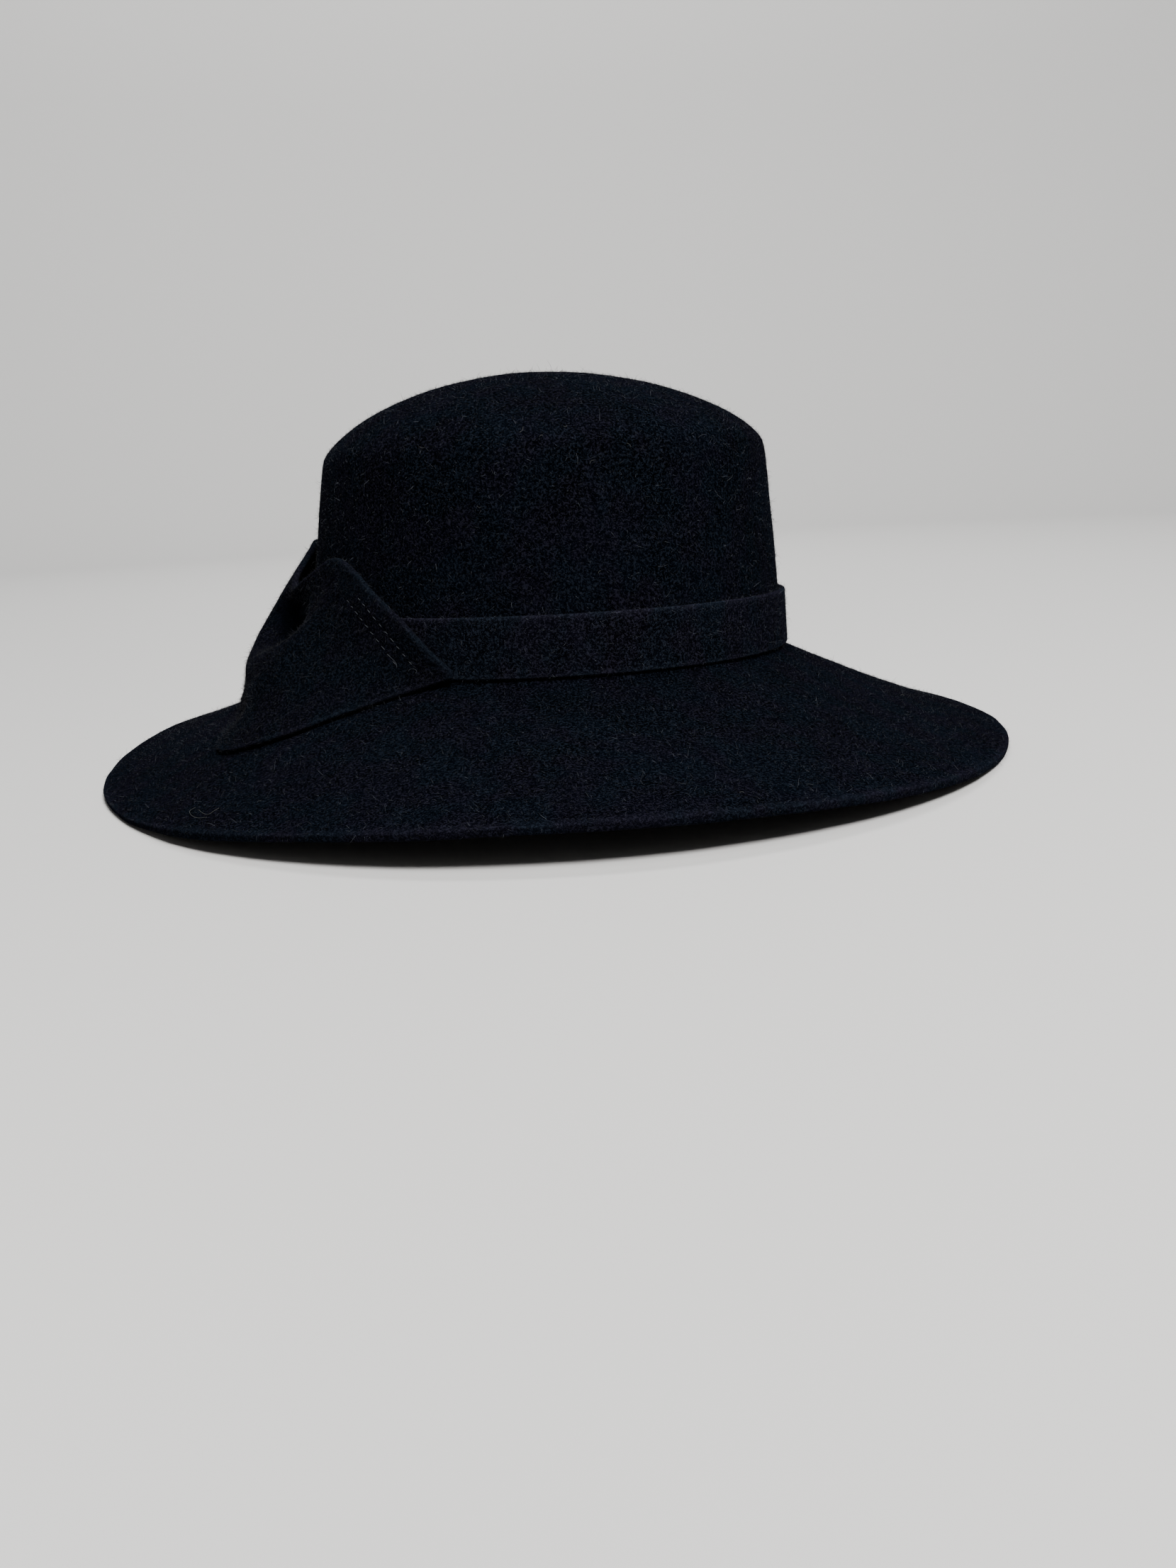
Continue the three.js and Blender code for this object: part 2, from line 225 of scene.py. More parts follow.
# Colours
BODY_GROUND = (0.000286, 0.000333, 0.000571, 1)
BODY_TINT = (0.000476, 0.000666, 0.00133, 1)
BAND_GROUND = (0.000535, 0.000583, 0.000966, 1)
BAND_TINT = (0.000966, 0.00118, 0.00214, 1)
BOW_GROUND = (0.000291, 0.000328, 0.000582, 1)
BOW_TINT = (0.00051, 0.000728, 0.00131, 1)
BODY_GLINT = (0.00802, 0.00909, 0.0137, 1)
BAND_GLINT = (0.0112, 0.0127, 0.0188, 1)
# The bow is the same felt as the body, but its paler fibres are painted darker: painted shade
BOW_GLINT_WITH_SHADE = (0.00698, 0.00805, 0.0118, 1)
NAP_DARK = (0.00084, 0.00096, 0.00144, 1)
NAP_PALE = (0.0915, 0.101, 0.119, 1)
THREAD_DARK = (0.0036, 0.0042, 0.006, 1)
# The thread's paler colour along its twist is painted sheen
THREAD_PAINTED_SHEEN = (0.032, 0.0352, 0.0416, 1)
HAIR_DARK = (0.016, 0.017, 0.016, 1)
HAIR_PALE = (0.05, 0.05, 0.047, 1)
CASTS = ((0.87, 1.03, 1.07, 1), (1.08, 0.94, 1.05, 1))
SHEEN_TINT = (0.62, 0.72, 1.0, 1)
FLOOR_COLOUR = (0.38, 0.377, 0.371, 1)
ROOM_COLOUR = (0.93, 0.96, 1.0)
ROOM_STRENGTH = 0.05

# The felt's finish: the sizes of its noises in millimetres, and between what values each one fades.
# A layer of strands has a size, a shift in metres and a width
CLOUD_SIZES = (26, 6)
CLOUD_FADE = (0.36, 0.62)
STRAND_LAYERS = (
    (1.6, (0, 0, 0), 0.10),
    (1.15, (0.013, 0.007, 0.011), 0.09),
    (0.8, (0.005, 0.017, 0.003), 0.08),
)
STRAND_WANDER = 0.7
STRAND_ENDS = (0.62, 0.3)
TUFT_SIZE = 0.85
TUFT_FADE = (0.5, 0.66)
GRAIN_SIZE = 0.4
GRAIN_FADE = (0.25, 0.65)
# The paler felt at cut edges is partly frayed fibres and partly a painted highlight
FRAY_AND_HIGHLIGHT_FADE = (0.2, 0.8)
# How much of its paler fibre the hollow between the bow's wings loses: painted shade
HOLLOW_SHADE_LOSS = 0.85
CAST_SIZE = 15
CAST_SHIFT = (0.3, 0.1, 0.2)
CAST_FADE = (0.4, 0.6)
SHEEN = 0.005
SHEEN_ROUGHNESS = 0.22
BUMP_STRENGTH = 0.5
BUMP_HEIGHT = 0.3
TWIST_SIZE = 0.25
HAIR_CLOUD = 1.2

# The studio, in metres: its floor, and each softbox's place, aim, size, power and colour
STUDIO_RADIUS = 2.2
STUDIO_CURVE = 1.1
STUDIO_HEIGHT = 3.0
FLOOR_GAP = 0.0002
BOWL_STEPS = 16
BOWL_TURNS = 96
SOFTBOXES = (
    ("key", (0.5, -1.2, 1.5), (0.02, 0, 0.08), 0.6, 108, (1.0, 0.99, 0.98)),
    ("far_wall", (0, 1.0, 2.6), (0, 3.2, 0.6), 1.6, 165, (1.0, 1.0, 1.0)),
    ("near_wall", (0, -1.0, 2.6), (0, -3.2, 0.6), 1.6, 50, (1.0, 1.0, 1.0)),
)


def lerp(start, end, share):
    return start + (end - start) * share


def clamp(value, low, high):
    return max(low, min(high, value))


def wave(sizes, azimuth):
    """The sum of the waves round the rim at an azimuth."""
    return sum(size * turn(count * math.radians(azimuth)) for turn, count, size in sizes)


def rim_reach(azimuth):
    return RIM_RADIUS + wave(RIM_REACH, azimuth)


def blocked(azimuth, radius, height):
    """Where a point of the round profile goes when the felt is blocked oval and its brim is waved."""
    across = max(0.0, (radius - JOIN_RADIUS) / (RIM_RADIUS - JOIN_RADIUS))
    reach = radius + across * wave(RIM_REACH, azimuth)
    longer = (OVAL - 1) * (1 - across) * min(radius, JOIN_RADIUS)
    angle = math.radians(azimuth)
    slump = DOME_SLUMP * (max(0.0, height - SHOULDER_HEIGHT) / DOME_RISE) ** 2
    lean = CROWN_LEAN * max(0.0, height - TAPER_HEIGHT) - slump
    return Vector((
        reach * math.sin(angle) + lean,
        -(reach + longer) * math.cos(angle),
        height + across * wave(RIM_WAVE, azimuth),
    ))


def tipped(point):
    """The blocked hat, tipped onto the low places of its rim."""
    x, y, z = point
    lift = SETTLE_LIFT - SETTLE_SLOPE_X * x - SETTLE_SLOPE_Y * y
    return Vector((x + SETTLE_SLOPE_X * z, y + SETTLE_SLOPE_Y * z, z + lift))


def outline_middle():
    """The middle of the hat's outline, which the part's origin lies under."""
    rim = [tipped(blocked(azimuth, RIM_RADIUS, BRIM_FELT)) for azimuth in range(360)]
    xs = [point.x for point in rim]
    ys = [point.y for point in rim]
    return Vector(((min(xs) + max(xs)) / 2, (min(ys) + max(ys)) / 2, 0))


MIDDLE = outline_middle()


def brim_point(across, depth=0.0):
    """The brim's section at the crown's side: across is 0 at the crown and 1 at the rim."""
    radius = lerp(JOIN_RADIUS, RIM_RADIUS, across)
    height = lerp(JOIN_HEIGHT, BRIM_FELT, across) - BRIM_HOLLOW * 4 * across * (1 - across)
    return Vector((radius, height)) + brim_down(across) * depth


def brim_down(across):
    """The way straight down through the brim's felt."""
    fall = JOIN_HEIGHT - BRIM_FELT + BRIM_HOLLOW * 4 * (1 - 2 * across)
    return Vector((-fall / (RIM_RADIUS - JOIN_RADIUS), -1)).normalized()


def dome_point(share, depth):
    """The dome's section: share is 0 at its top and 1 at the shoulder."""
    angle = math.radians(90 * (1 - share))
    radius = (SHOULDER_RADIUS - depth) * max(0.0, math.cos(angle)) ** DOME_ROUNDNESS
    return Vector((radius, SHOULDER_HEIGHT + (DOME_RISE - depth) * math.sin(angle) ** DOME_FLATNESS))


def side_point(height, depth):
    taper = clamp((height - TAPER_HEIGHT) / (SHOULDER_HEIGHT - TAPER_HEIGHT), 0, 1)
    return Vector((lerp(BASE_RADIUS, SHOULDER_RADIUS, taper) - depth, height))


def arc(centre, start, end, radius, steps):
    """A quarter turn about centre, from the way start points to the way end points."""
    turns = [math.pi / 2 * step / steps for step in range(steps + 1)]
    return [centre + (start * math.cos(turn) + end * math.sin(turn)) * radius for turn in turns]


def steps_between(start, end, count):
    return [lerp(start, end, (step + 1) / (count + 1)) for step in range(count)]


def eased(points, passes, low, high):
    """The section with its bends between two heights rounded off."""
    for _ in range(passes):
        points = [points[0]] + [
            point if not low < point.y < high else (before + point * 2 + after) / 4
            for before, point, after in zip(points, points[1:], points[2:])
        ] + [points[-1]]
    return points


def body_section():
    """The felt's section from the top of the dome to the rim, and back up inside."""
    outside = [dome_point(step / DOME_STEPS, 0) for step in range(DOME_STEPS + 1)]
    outer_heights = steps_between(SHOULDER_HEIGHT, SIDE_FOOT, SIDE_STEPS)
    outside = eased(outside + [side_point(height, 0) for height in outer_heights], *SHOULDER_EASE)
    outside += [brim_point(across) for across in steps_between(0, OUTER_END, BRIM_STEPS)]
    down = brim_down(1)
    out = Vector((-down.y, down.x))
    corner = brim_point(1) - out * RIM_LIP
    outside += arc(corner + down * RIM_LIP, -down, out, RIM_LIP, LIP_STEPS)
    outside += arc(corner + down * (BRIM_FELT - RIM_LIP), out, down, RIM_LIP, LIP_STEPS)
    inner_shares = steps_between(OUTER_END, INNER_START, BRIM_STEPS)
    inside = [brim_point(across, BRIM_FELT) for across in inner_shares]
    inner_heights = steps_between(JOIN_HEIGHT, SHOULDER_HEIGHT, SIDE_STEPS)
    inside = eased(inside + [side_point(height, CROWN_FELT) for height in inner_heights], *JOIN_EASE)
    inside += [dome_point(1 - step / DOME_STEPS, CROWN_FELT) for step in range(DOME_STEPS + 1)]
    return outside + inside


def spun(section, closed=False, steps=ROUND_STEPS):
    """A section turned all the way round."""
    shape = bmesh.new()
    corners = [shape.verts.new((max(radius, 0), 0, height)) for radius, height in section]
    for pair in zip(corners, corners[1:] + corners[:1] if closed else corners[1:]):
        shape.edges.new(pair)
    bmesh.ops.spin(
        shape, geom=shape.verts[:] + shape.edges[:], cent=(0, 0, 0), axis=(0, 0, 1),
        angle=math.tau, steps=steps, use_merge=True,
    )
    bmesh.ops.remove_doubles(shape, verts=shape.verts, dist=TINY)
    bmesh.ops.recalc_face_normals(shape, faces=shape.faces)
    return shape


def round_place(corner):
    """A spun point's azimuth, radius and height."""
    x, y, z = corner.co
    return math.degrees(math.atan2(x, -y)), math.hypot(x, y), z


def pressed_by(azimuth):
    """How far the rim would reach below the table at an azimuth, if it didn't press flat."""
    radius, height = brim_point(1, BRIM_FELT)
    return max(0.0, -tipped(blocked(azimuth, radius, height)).z)


def blocked_felt():
    """The hat itself: crown and brim are one felt, with a soft unevenness from the block."""
    shape = spun(body_section())
    mark_fray_and_highlight(shape, section_gaps(shape, (brim_point(1), brim_point(1, BRIM_FELT))))
    for corner in shape.verts:
        azimuth, radius, height = round_place(corner)
        point = tipped(blocked(azimuth, radius, height))
        inward = RIM_RADIUS - radius
        if inward < PRESS_FADE:
            point.z += pressed_by(azimuth) * min(1, 1 - inward / PRESS_FADE)
        corner.co = point - MIDDLE
    uneven(shape, BODY_LUMPS)
    for corner in shape.verts:
        corner.co.z = max(corner.co.z, 0)
    return finished("blocked_felt", shape, "felt_body")


def mark_fray_and_highlight(shape, gaps):
    """Marks how near each point is to a cut edge of the felt, which is painted paler, partly for its
    frayed fibres and partly as a painted highlight along the lips: 1 on the edge, 0 past the edge width
    set above.
    """
    cut = shape.verts.layers.float.new("cut")
    for corner, gap in zip(shape.verts, gaps):
        corner[cut] = clamp(1 - gap / FRAY_AND_HIGHLIGHT_WIDTH, 0, 1)


def section_gaps(shape, edges):
    """How far each spun point is from the nearest of these points of its section."""
    gaps = []
    for corner in shape.verts:
        _, radius, height = round_place(corner)
        gaps.append(min(math.hypot(radius - edge.x, height - edge.y) for edge in edges))
    return gaps


def swell(place, lumps):
    """How far soft noise lifts the felt's surface at a place."""
    return sum(high * noise.noise(place / across) for across, high in lumps)


def uneven(shape, lumps):
    """Moves the felt's surface in and out by soft noise."""
    shape.normal_update()
    moves = [corner.normal * swell(corner.co, lumps) for corner in shape.verts]
    for corner, move in zip(shape.verts, moves):
        corner.co += move


def in_order(shape):
    """Cuts a shape into triangles and sorts it by place, because spin, solidify and subdivide_edges
    leave their faces in an order that changes from run to run."""
    bmesh.ops.triangulate(shape, faces=shape.faces, quad_method="SHORT_EDGE")
    shape.verts.sort(key=lambda corner: corner.co.dot(SORTING))
    shape.faces.sort(key=lambda face: face.calc_center_median().dot(SORTING))


def finished(name, shape, node):
    """The mesh object of a shape in millimetres, standing for a solid of the part."""
    in_order(shape)
    bmesh.ops.scale(shape, vec=(MM, MM, MM), verts=shape.verts)
    mesh = bpy.data.meshes.new(name)
    shape.to_mesh(mesh)
    shape.free()
    mesh.shade_smooth()
    return shown(name, mesh, node)


def shown(name, mesh, node=None):
    """A piece in the scene, which rides on the hat and may stand for one of its solids."""
    piece = bpy.data.objects.new(name, mesh)
    bpy.context.scene.collection.objects.link(piece)
    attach(piece, "root")
    if node:
        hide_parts(node)
    return piece


def band_strip():
    """A closed hoop of flat felt round the foot of the crown."""
    inner = BASE_RADIUS + GAP
    upper = BAND_RADIUS - BAND_TAPER
    out, up = Vector((1, 0)), Vector((0, 1))
    top = arc(Vector((upper - BAND_LIP, BAND_TOP - BAND_LIP)), up, out, BAND_LIP, LIP_STEPS)
    foot = arc(Vector((BAND_RADIUS - BAND_LIP, BAND_BOTTOM + BAND_LIP)), out, -up, BAND_LIP, LIP_STEPS)
    face = [lerp(top[-1], foot[0], share) for share in steps_between(0, 1, BAND_STEPS)]
    heights = [BAND_BOTTOM, *steps_between(BAND_BOTTOM, BAND_TOP, BAND_STEPS // 2), BAND_TOP]
    back = [Vector((inner, height)) for height in heights]
    shape = spun([*top, *face, *foot, *back], closed=True)
    mark_fray_and_highlight(shape, section_gaps(shape, (Vector((upper, BAND_TOP)), Vector((BAND_RADIUS, BAND_BOTTOM)))))
    for corner in shape.verts:
        azimuth, radius, height = round_place(corner)
        corner.co = tipped(oval_point(azimuth, radius, height)) - MIDDLE
    uneven(shape, BAND_LUMPS)
    return finished("band_strip", shape, "hat_band")


def oval_point(azimuth, radius, height):
    """A point of the crown's oval."""
    angle = math.radians(azimuth)
    return Vector((radius * math.sin(angle), -radius * OVAL * math.cos(angle), height))


# The bow

def smooth(values, place):
    """A smooth curve through numbers that stand one step apart."""
    index = clamp(math.floor(place), 0, len(values) - 2)
    t = place - index
    before, start = values[max(index - 1, 0)], values[index]
    end, after = values[index + 1], values[min(index + 2, len(values) - 1)]
    return (
        start * (2 * t ** 3 - 3 * t ** 2 + 1)
        + (end - before) / 2 * (t ** 3 - 2 * t ** 2 + t)
        + end * (3 * t ** 2 - 2 * t ** 3)
        + (after - start) / 2 * (t ** 3 - t ** 2)
    )


def hat_distance(azimuth, height):
    """The outside of the crown and the band at a height, which the bow's felt lies on."""
    above_band = clamp((height - BAND_TOP - SLANT_START) / SLANT_HEIGHT, 0, 1)
    radius = lerp(BAND_RADIUS, side_point(max(height, TAPER_HEIGHT), 0).x, above_band)
    angle = math.radians(azimuth)
    return radius / math.hypot(math.sin(angle), math.cos(angle) / OVAL)


def brim_height(azimuth, distance):
    """How high the brim's upper face is at a place outside the crown."""
    angle = math.radians(azimuth)
    radius = math.hypot(distance * math.sin(angle), distance * math.cos(angle) / OVAL)
    across = clamp((radius - JOIN_RADIUS) / (rim_reach(azimuth) - JOIN_RADIUS), 0, 1)
    return brim_point(across).y + across * wave(RIM_WAVE, azimuth)


def placed(azimuth, distance, height):
    angle = math.radians(azimuth)
    return Vector((distance * math.sin(angle), -distance * math.cos(angle), height))


def bow_point(along, up):
    """A place on the bow's outer face: along counts sections, up counts folds."""
    azimuth = smooth([row[0] for row in BOW_SECTIONS], along)
    columns = range(1, len(BOW_FOLDS) + 1)
    distances = [smooth([row[fold][0] for row in BOW_SECTIONS], along) for fold in columns]
    heights = [smooth([row[fold][1] for row in BOW_SECTIONS], along) for fold in columns]
    heights[0] += brim_height(azimuth, distances[0])
    height = smooth(heights, up)
    distance = max(smooth(distances, up), hat_distance(azimuth, height) + GAP + BOW_FELT)
    return placed(azimuth, distance, height)


def clear_of_hat(point):
    """An inner point of the bow, moved out of the crown and band and up off the brim."""
    azimuth = math.degrees(math.atan2(point.x, -point.y))
    distance = max(math.hypot(point.x, point.y), hat_distance(azimuth, point.z) + GAP)
    return placed(azimuth, distance, max(point.z, brim_height(azimuth, distance) + 2 * GAP))


def bow_face():
    """The bow's outer face as an open sheet, still as blocked."""
    sections, folds = len(BOW_SECTIONS) - 1, len(BOW_FOLDS) - 1
    sheet = bmesh.new()
    bmesh.ops.create_grid(
        sheet, x_segments=sections * BOW_STEPS_PER_SECTION, y_segments=folds * BOW_STEPS_PER_FOLD,
        size=0.5,
    )
    for corner in sheet.verts:
        corner.co = bow_point((corner.co.x + 0.5) * sections, (corner.co.y + 0.5) * folds)
    sheet.normal_update()
    belly = bow_point(*BOW_MIDDLE)
    middle = min(sheet.faces, key=lambda face: (face.calc_center_median() - belly).length)
    if middle.normal.dot(middle.calc_center_median() * Vector((1, 1, 0))) < 0:
        bmesh.ops.reverse_faces(sheet, faces=sheet.faces)
    return sheet


def seen_through(pixel, surface):
    """Where the camera's ray through a pixel of the photograph meets a surface in the part's frame."""
    look, up = Vector(CAMERA_LOOK), Vector(CAMERA_UP)
    right = look.cross(up)
    across, down = pixel[0] - PHOTO_WIDTH / 2, pixel[1] - PHOTO_HEIGHT / 2
    ray = look * FOCAL_PIXELS + right * across - up * down
    place, normal, _, _ = surface.ray_cast(Vector(CAMERA_PLACE), ray.normalized())
    return place, normal


def stitch_places(surface):
    """Every stitch of the two rows: its place, its way along and the felt's normal."""
    found = []
    for first, last in STITCH_ROWS:
        shares = [step / ROW_STEPS for step in range(ROW_STEPS + 1)]
        pixels = [[lerp(start, end, share) for start, end in zip(first, last)] for share in shares]
        trail = [seen_through(pixel, surface) for pixel in pixels]
        trail = [(place, normal) for place, normal in trail if place]
        length = 0
        due = STITCH_LENGTH / 2
        for (here, normal), (there, _) in zip(trail, trail[1:]):
            step = (there - here).length
            while length + step > due:
                place = here.lerp(there, (due - length) / step)
                found.append((place, (there - here).normalized(), normal))
                due += STITCH_PITCH
            length += step
    return found


def folded_bow():
    """One wide strip of felt, folded into two wings that are pinched together between them."""
    sheet = bow_face()
    for corner in sheet.verts:
        corner.co = tipped(corner.co) - MIDDLE
    surface = BVHTree.FromBMesh(sheet)
    stitches = stitch_places(surface)
    sheet.normal_update()
    for corner in sheet.verts:
        gap = min((corner.co - place).length for place, _, _ in stitches)
        if gap < DIMPLE_WIDTH:
            corner.co -= corner.normal * STITCH_DIMPLE * (1 - (gap / DIMPLE_WIDTH) ** 2)
    uneven(sheet, BOW_LUMPS)
    raised = [(place + normal * swell(place, BOW_LUMPS), way, normal) for place, way, normal in stitches]
    return thick_bow(sheet), raised


def thick_bow(sheet):
    """The sheet with its felt's thickness, and its cut edges rounded."""
    share = sheet.verts.layers.float.new("share")
    outward = sheet.verts.layers.float_vector.new("outward")
    outer = set(sheet.verts)
    flat_area = sum(face.calc_area() for face in sheet.faces)
    bmesh.ops.solidify(sheet, geom=sheet.faces[:], thickness=BOW_FELT)
    for corner in sheet.verts:
        if corner not in outer:
            blocked_place = untipped(corner.co + MIDDLE)
            corner.co = tipped(clear_of_hat(blocked_place)) - MIDDLE
    bmesh.ops.recalc_face_normals(sheet, faces=sheet.faces)
    across = [edge for edge in sheet.edges if (edge.verts[0] in outer) != (edge.verts[1] in outer)]
    for edge in across:
        way = sum((face.normal for face in edge.link_faces), Vector()).normalized()
        for corner in edge.verts:
            corner[share] = 0 if corner in outer else 1
            corner[outward] = way
    bmesh.ops.subdivide_edges(sheet, edges=across, cuts=BOW_LIP_CUTS)
    cut_face = [corner for corner in sheet.verts if corner[outward].length > 0]
    rim = KDTree(len(cut_face))
    for index, corner in enumerate(cut_face):
        corner.co += corner[outward] * BOW_LIP * math.sqrt(max(0, 1 - (2 * corner[share] - 1) ** 2))
        rim.insert(corner.co, index)
    rim.balance()
    gaps = [rim.find(corner.co)[2] for corner in sheet.verts]
    sheet.verts.layers.float.remove(share)
    sheet.verts.layers.float_vector.remove(outward)
    mark_fray_and_highlight(sheet, gaps)
    paint_hollow_shade(sheet)
    bow = finished("folded_bow", sheet, "bow")
    bow["flat_area"] = flat_area * MM * MM
    return bow


def paint_hollow_shade(shape):
    """Marks the felt in the hollow between the wings, which is painted darker as shade: 1 where it is
    deepest.
    """
    hollow_shade = shape.verts.layers.float.new("hollow_shade")
    for corner in shape.verts:
        x, y, z = corner.co + MIDDLE
        depth = clamp((HOLLOW_RADIUS - math.hypot(x, y)) / HOLLOW_FADE, 0, 1)
        beside = clamp((HOLLOW_START - math.degrees(math.atan2(x, -y))) / HOLLOW_FADE, 0, 1)
        under = clamp((HOLLOW_TOP - z) / HOLLOW_FADE, 0, 1)
        corner[hollow_shade] = depth * beside * under


def untipped(point):
    """The blocked point that tips to this one."""
    x, y, z = point
    height = z - SETTLE_LIFT + SETTLE_SLOPE_X * x + SETTLE_SLOPE_Y * y
    return Vector((x - SETTLE_SLOPE_X * height, y - SETTLE_SLOPE_Y * height, height))


def stitching(places, piece):
    """Short thread stitches, half sunk in the felt, and the thread's loose ends."""
    draw = np.random.default_rng(STITCH_SEED)
    thread = bmesh.new()
    for place, way, normal in places:
        sway = Matrix.Rotation(draw.normal(STITCH_SLANT, STITCH_SWAY), 3, normal)
        way = sway @ way
        side = way.cross(normal).normalized()
        long = STITCH_LENGTH / 2 * draw.uniform(*STITCH_SHARES)
        axes = Matrix((side * THREAD_RADIUS, way * long, normal * THREAD_RADIUS)).transposed().to_4x4()
        axes.translation = place - normal * (STITCH_DIMPLE - THREAD_RADIUS)
        bmesh.ops.create_uvsphere(
            thread, u_segments=STITCH_SIDES, v_segments=STITCH_SIDES, radius=1, matrix=axes,
        )
    strew(thread, piece, THREAD_ENDS, THREAD_END_RADIUS)
    return finished("stitches", thread, None)


def strew(shape, piece, trails, radius):
    """Adds thin tubes that lie on a piece of felt, each one along a trail of the photograph's pixels."""
    felt = bmesh.new()
    felt.from_mesh(piece.data)
    bmesh.ops.scale(felt, vec=(1 / MM,) * 3, verts=felt.verts)
    surface = BVHTree.FromBMesh(felt)
    felt.free()
    for pixels in trails:
        shares = [step / TRAIL_STEPS for step in range((len(pixels) - 1) * TRAIL_STEPS + 1)]
        seen = [seen_through([smooth(line, share) for line in zip(*pixels)], surface) for share in shares]
        trail = [place + normal * radius for place, normal in seen]
        way = (trail[1] - trail[0]).normalized()
        side = way.orthogonal().normalized()
        sides = Matrix((side, way.cross(side), way)).transposed().to_4x4()
        sides.translation = trail[0]
        circle = bmesh.ops.create_circle(shape, segments=TUBE_SIDES, radius=radius, matrix=sides)
        ring = circle["verts"]
        edges = list({edge for corner in ring for edge in corner.link_edges})
        for here, there in zip(trail, trail[1:]):
            bend = way.rotation_difference(there - here).to_matrix()
            bmesh.ops.rotate(shape, verts=ring, cent=here, matrix=bend)
            way = there - here
            grown = bmesh.ops.extrude_edge_only(shape, edges=edges)["geom"]
            edges = [item for item in grown if isinstance(item, bmesh.types.BMEdge)]
            ring = [item for item in grown if isinstance(item, bmesh.types.BMVert)]
            bmesh.ops.translate(shape, verts=ring, vec=way)
    bmesh.ops.holes_fill(shape, edges=shape.edges)
    bmesh.ops.recalc_face_normals(shape, faces=shape.faces)


def lint(piece):
    """A few pale hairs that lie on the felt."""
    hairs = bmesh.new()
    strew(hairs, piece, LINT, LINT_RADIUS)
    return finished("lint", hairs, None)


# The nap: loose fibres that stand off the felt. A straight fibre has one ring of corners and a tip,
# and a kneed one has two rings
STRAIGHT = ((0, 2, 1), (0, 1, 3), (1, 2, 3), (2, 0, 3))
KNEED = (
    (0, 2, 1), (0, 1, 4), (0, 4, 3), (1, 2, 5), (1, 5, 4),
    (2, 0, 3), (2, 3, 5), (3, 4, 6), (4, 5, 6), (5, 3, 6),
)


def felt_triangles(piece):
    """A piece's triangles as arrays: corners, centres, normals and areas, in millimetres. Each one
    starts at its lowest-numbered corner, so that no run draws its fibres elsewhere."""
    mesh = piece.data
    mesh.calc_loop_triangles()
    places = np.empty(len(mesh.vertices) * 3)
    mesh.vertices.foreach_get("co", places)
    corners = np.empty(len(mesh.loop_triangles) * 3, dtype=np.int32)
    mesh.loop_triangles.foreach_get("vertices", corners)
    corners = corners.reshape(-1, 3)
    first = corners.argmin(axis=1)[:, None]
    corners = np.take_along_axis(corners, (first + np.arange(3)) % 3, axis=1)
    triangles = places.reshape(-1, 3)[corners] / MM
    crosses = np.cross(triangles[:, 1] - triangles[:, 0], triangles[:, 2] - triangles[:, 0])
    areas = np.linalg.norm(crosses, axis=1) / 2
    normals = crosses / np.maximum(2 * areas, 1e-12)[:, None]
    return triangles, triangles.mean(axis=1), normals, areas


def unit(vectors):
    return vectors / np.maximum(np.linalg.norm(vectors, axis=1), 1e-12)[:, None]


def rooted(piece, where, count, draw):
    """Random places on the part of a piece's felt that where() picks, and the felt's normals there."""
    triangles, centres, normals, areas = felt_triangles(piece)
    weights = areas * where(centres, normals)
    chosen = draw.choice(len(weights), count, p=weights / weights.sum())
    first, second = np.sort(draw.random((2, count)), axis=0)
    shares = np.stack((first, second - first, 1 - second), axis=1)
    return (triangles[chosen] * shares[:, :, None]).sum(axis=1), normals[chosen]


def fibres(roots, normals, long, lift, bend, draw):
    """Tapered three-sided fibres: points and triangles, as arrays. A fibre with bend has a knee."""
    count = len(roots)
    side = unit(np.cross(normals, draw.normal(size=(count, 3))))
    along = np.cross(side, normals)
    rise = np.radians(draw.uniform(*lift, count))[:, None]
    reach = draw.gamma(LENGTH_EVENNESS, 1 / LENGTH_EVENNESS, count)[:, None] * long
    way = along * np.cos(rise) + normals * np.sin(rise)
    low = roots - normals * ROOT_DEPTH
    turn = draw.normal(0, bend, count)[:, None]
    onward = unit(way + side * turn - normals * np.abs(turn) * KNEE_DROOP)
    knee = low + way * reach * (0.5 if bend else 1)
    tip = knee + onward * reach * 0.5
    over = np.cross(way, side)
    spokes = [(side * math.cos(angle) + over * math.sin(angle)) * NAP_RADIUS for angle in SPOKES]
    rings = [low + spoke for spoke in spokes]
    if bend:
        rings += [knee + spoke * KNEE_TAPER for spoke in spokes]
    points = np.stack([*rings, tip if bend else knee], axis=1)
    faces = KNEED if bend else STRAIGHT
    starts = np.arange(count)[:, None, None] * points.shape[1]
    return points.reshape(-1, 3), (starts + np.array(faces)[None]).reshape(-1, 3)


def nap(name, piece, where, short, loose, seed, paleness):
    """The nap of a piece of felt: many short straight fibres and fewer long loose ones, in one mesh."""
    draw = np.random.default_rng(seed)
    points, faces, tones = [], [], []
    start = 0
    for count, kind in ((short, SHORT_NAP), (loose, LOOSE_NAP)):
        roots, normals = rooted(piece, where, count, draw)
        some, ends = fibres(roots, normals, *kind, draw)
        some[:, 2] = np.maximum(some[:, 2], 0)
        # The pale fibres' tone is scaled for each piece, lower on the brim and the bow: painted shade
        tones.append(np.repeat(draw.random(count) ** PALE_RARITY * paleness, len(some) // count))
        points.append(some)
        faces.append(ends + start)
        start += len(some)
    mesh = bpy.data.meshes.new(name)
    mesh.from_pydata((np.concatenate(points) * MM).tolist(), [], np.concatenate(faces).tolist())
    tone = mesh.attributes.new("tone", "FLOAT", "POINT")
    tone.data.foreach_set("value", np.concatenate(tones))
    return shown(name, mesh)


# Finishes

class Value:
    """A socket's value in a finish. An operator on it adds the Math node for that operation."""

    def __init__(self, finish, socket):
        self.finish = finish
        self.socket = socket

    def __add__(self, other):
        return self.finish.math("ADD", self, other)

    __radd__ = __add__

    def __rsub__(self, other):
        return self.finish.math("SUBTRACT", other, self)

    def __mul__(self, other):
        return self.finish.math("MULTIPLY", self, other)

    def __abs__(self):
        return self.finish.math("ABSOLUTE", self)


